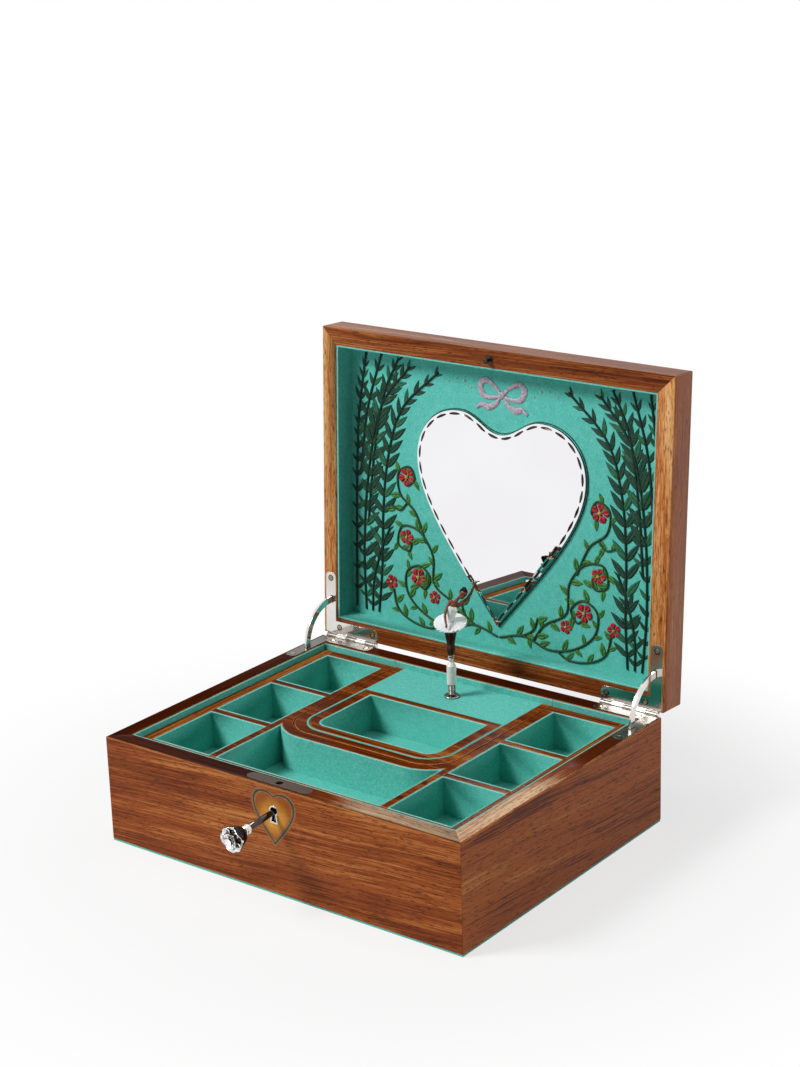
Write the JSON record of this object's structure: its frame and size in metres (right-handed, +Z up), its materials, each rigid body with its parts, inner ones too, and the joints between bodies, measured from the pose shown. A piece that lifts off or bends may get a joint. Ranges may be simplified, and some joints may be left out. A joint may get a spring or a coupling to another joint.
{
  "type": "ballerina jewellery box",
  "caption": "Lidded wooden jewellery box lined in suede, with lift-out trays, a heart mirror, a lock and key, and a dancer turned by a music movement.",
  "frame": {"origin": "middle of the underside of the base", "axes": "+X to the right, +Y to the back where the hinges are, +Z up"},
  "size_m": [0.3, 0.3208, 0.3156],
  "materials": {
    "veneer": "satin lacquered figured veneer",
    "tray_wood": "satin lacquered",
    "board": "plain",
    "suede": "suede",
    "felt": "felt",
    "polished_nickel": "polished nickel plate",
    "dark_steel": "dark satin",
    "steel": "satin",
    "brass": "bright",
    "inlay_wood": "lacquered inlay",
    "stringing": "lacquered dark stringing",
    "mirror_glass": "silvered glass with bevelled edge",
    "white_plastic": "moulded",
    "painted_plastic": "hand painted",
    "net": "net"
  },
  "bodies": {
    "box": {"front_wall": "veneer", "back_wall": "veneer", "left_wall": "veneer", "right_wall": "veneer", "bottom_board": "board", "bottom_felt": "felt", "base_lining": "suede", "floor_lining": "suede", "tray_rails": "suede", "housing_frame": "tray_wood", "recess_floor": "board", "panel_supports": "board", "movement_panel": "board", "housing_lining": "suede", "lock_plate": "dark_steel", "lock_case": "steel", "escutcheon": "polished_nickel", "heart_inlay": "inlay_wood", "heart_stringing": "stringing", "base_hinge_leaves": "polished_nickel", "hinge_pins": "polished_nickel", "base_hinge_screws": "polished_nickel", "bedplate": "brass", "movement_screws": "steel", "tone_comb": "steel", "cylinder_brackets": "brass", "governor": "steel", "flange_bush": "polished_nickel"},
    "lid": {"lid_front_wall": "veneer", "lid_back_wall": "veneer", "lid_left_wall": "veneer", "lid_right_wall": "veneer", "lid_board": "board", "lid_veneer": "veneer", "lid_lining": "suede", "heart_mirror": "mirror_glass", "catch_stud": "polished_nickel", "lid_hinge_leaves": "polished_nickel", "lid_hinge_screws": "polished_nickel"},
    "stay_arms": {"stay_arms": "polished_nickel"},
    "lift_tray": {"tray_side_walls": "tray_wood", "tray_end_walls": "tray_wood", "tray_notch_wall": "tray_wood", "tray_dividers": "tray_wood", "tray_floor": "board", "tray_lining": "suede"},
    "centre_tray": {"centre_tray_frame": "tray_wood", "centre_tray_floor": "board", "centre_tray_lining": "suede"},
    "lock_bolt": {"lock_bolt": "steel"},
    "key": {"key": "polished_nickel"},
    "barrel": {"spring_barrel": "brass"},
    "winding_key": {"winding_key": "polished_nickel"},
    "cylinder": {"pinned_cylinder": "brass"},
    "spindle": {"dancer_spindle": "polished_nickel"},
    "dancer_spring": {"dancer_spring": "polished_nickel"},
    "dancer": {"dancer_post": "white_plastic", "dancer_figure": "painted_plastic", "dancer_tutu": "net"}
  },
  "joints": [
    {"name": "lid_hinge", "type": "hinge", "parent": "box", "child": "lid", "pos_m": [0, 0.12, 0.078], "axis": [1, 0, 0], "range_deg": [0, 93]},
    {"name": "stay_slide", "type": "hinge", "parent": "box", "child": "stay_arms", "pos_m": [0, 0.12, 0.078], "axis": [1, 0, 0], "range_deg": [0, 61.38]},
    {"name": "dancer_fold", "type": "hinge", "parent": "box", "child": "dancer_spring", "pos_m": [0, 0.0795, 0.0791], "axis": [1, 0, 0], "range_deg": [0, 93], "deforming": ["dancer_spring"]},
    {"name": "dancer_spin", "type": "hinge", "parent": "dancer_spring", "child": "dancer", "pos_m": [0, 0.0795, 0.0791], "axis": [0, 0, 1], "continuous": true},
    {"name": "barrel_turn", "type": "hinge", "parent": "box", "child": "barrel", "pos_m": [0, 0.0542, 0.016], "axis": [0, 0, 1], "continuous": true},
    {"name": "cylinder_turn", "type": "hinge", "parent": "box", "child": "cylinder", "pos_m": [0, 0.0542, 0.0288], "axis": [1, 0, 0], "continuous": true},
    {"name": "spindle_turn", "type": "hinge", "parent": "box", "child": "spindle", "pos_m": [0, 0.0795, 0.02], "axis": [0, 0, 1], "continuous": true},
    {"name": "winding_turn", "type": "hinge", "parent": "box", "child": "winding_key", "pos_m": [0, 0.0542, 0.005], "axis": [0, 0, 1], "continuous": true},
    {"name": "key_turn", "type": "hinge", "parent": "box", "child": "key", "pos_m": [0, -0.113, 0.0608], "axis": [0, -0.9962, -0.0872], "range_deg": [0, 90]},
    {"name": "bolt_slide", "type": "slide", "parent": "box", "child": "lock_bolt", "axis": [1, 0, 0], "range_m": [0, 0.004]},
    {"name": "lift_tray_out", "type": "slide", "parent": "box", "child": "lift_tray", "axis": [0, 0, -1], "range_m": [-0.06, 0]},
    {"name": "centre_tray_out", "type": "slide", "parent": "box", "child": "centre_tray", "axis": [0, 0, -1], "range_m": [-0.06, 0]}
  ],
  "couplings": [
    {"joint": "stay_slide", "follows": "lid_hinge", "ratio": 0.66},
    {"joint": "dancer_fold", "follows": "lid_hinge", "ratio": 1},
    {"joint": "dancer_spin", "follows": "barrel_turn", "ratio": -2},
    {"joint": "cylinder_turn", "follows": "barrel_turn", "ratio": 4},
    {"joint": "spindle_turn", "follows": "barrel_turn", "ratio": -2},
    {"joint": "key_turn", "follows": "bolt_slide", "rad_per_m": 392.7}
  ]
}
